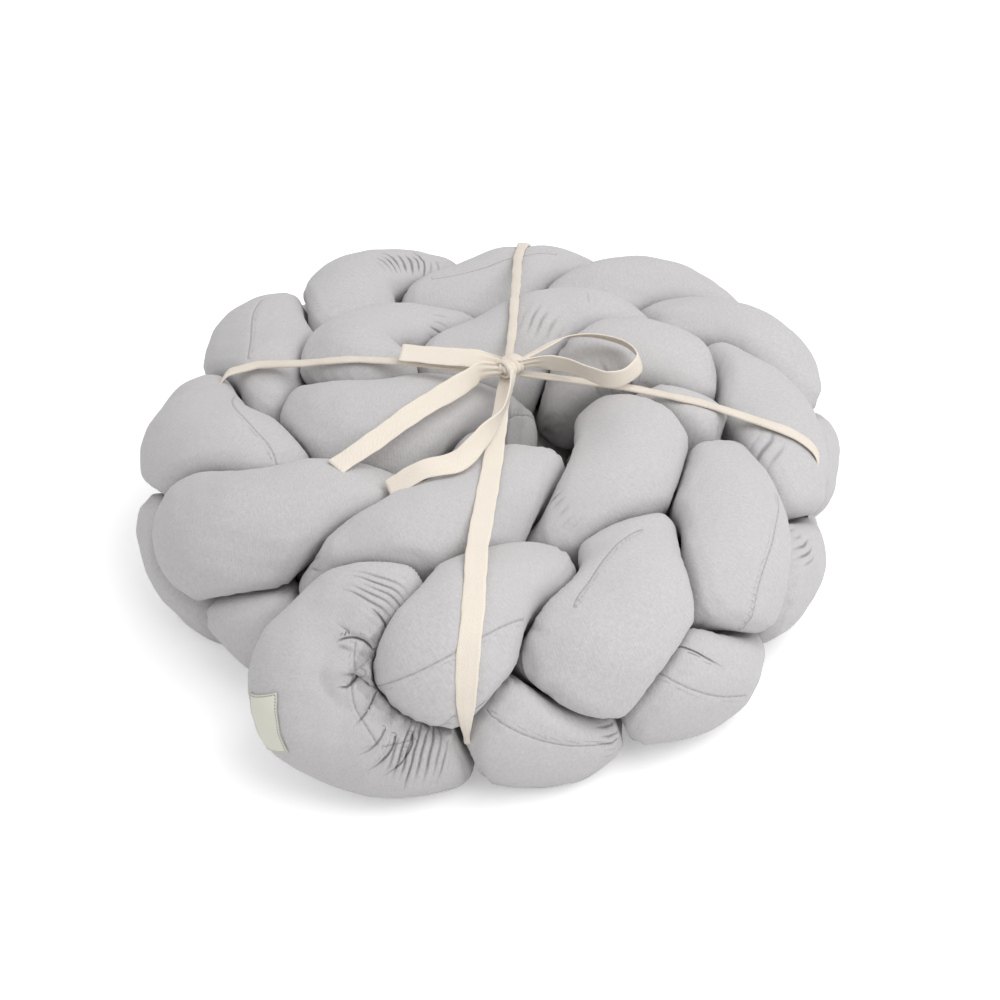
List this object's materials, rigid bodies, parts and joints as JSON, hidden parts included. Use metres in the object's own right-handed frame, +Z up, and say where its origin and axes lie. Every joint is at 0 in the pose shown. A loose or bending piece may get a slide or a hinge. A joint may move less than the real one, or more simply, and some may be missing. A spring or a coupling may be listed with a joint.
{
  "type": "braided crib bumper",
  "caption": "Braided crib bumper of stuffed jersey tubes, rolled up for storage and tied crosswise with flat cotton tape in a bow on top.",
  "frame": {"origin": "on the surface that the roll stands on, under the middle of its bounding box", "axes": "+Z up, across the flat roll; -Y towards the front, where the folded outer end lies; +X to the right seen from the front"},
  "size_m": [0.5534, 0.5908, 0.1922],
  "materials": {
    "jersey": "plain light grey cotton jersey, matt with a faint nap",
    "tape": "natural cream cotton twill tape, matt",
    "label": "woven label, bare, pale grey-green, matt"
  },
  "bodies": {
    "root": {"strand_folded": "jersey", "strand_middle": "jersey", "tape_front_back": "tape", "tape_left_right": "tape", "bow_knot": "tape", "bow_loop": "tape", "bow_tail_upper_left": "tape", "bow_tail_lower_left": "tape", "bow_tail_lower": "tape", "label": "label"}
  },
  "joints": []
}
